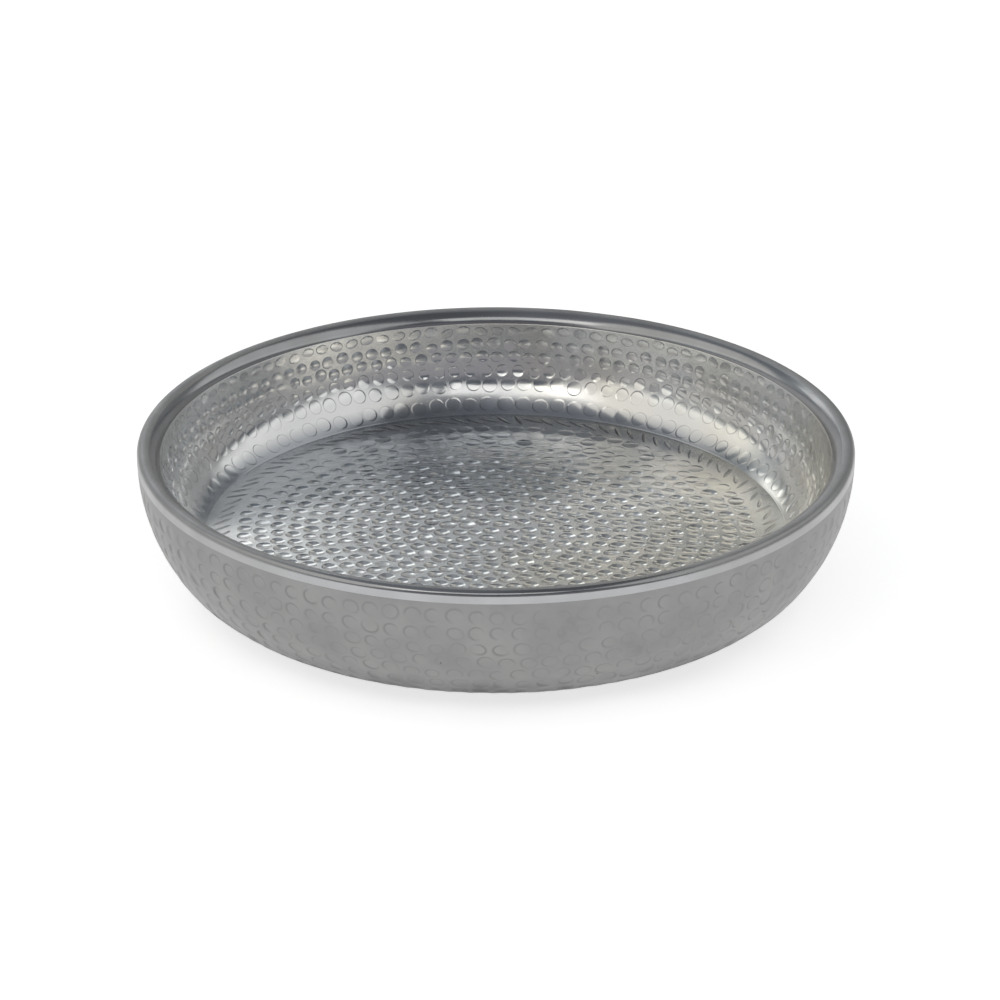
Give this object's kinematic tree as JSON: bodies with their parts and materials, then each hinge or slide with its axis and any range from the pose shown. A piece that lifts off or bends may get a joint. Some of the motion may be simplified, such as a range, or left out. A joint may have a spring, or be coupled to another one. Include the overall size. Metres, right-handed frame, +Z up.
{
  "type": "hammered double-walled paten dish",
  "caption": "Shallow round hammered metal dish with a flat floor, curved double walls and a smooth rounded rim, for carrying altar bread",
  "frame": {"origin": "Centre of the resting face under the dish, on the axis of the dish", "axes": "+Z is up along the axis of the dish, out of its open top; +X and +Y lie in the resting plane, and the dish is round about Z"},
  "size_m": [0.24, 0.24, 0.049],
  "materials": {
    "liner_metal": "hammered and polished bright",
    "shell_metal": "hammered, satin",
    "rim_metal": "polished smooth",
    "base_metal": "fine turned satin"
  },
  "bodies": {
    "root": {"liner": "liner_metal", "outer_shell": "shell_metal", "rim_ring": "rim_metal", "base_plate": "base_metal", "vent_plug": "base_metal"}
  },
  "joints": []
}
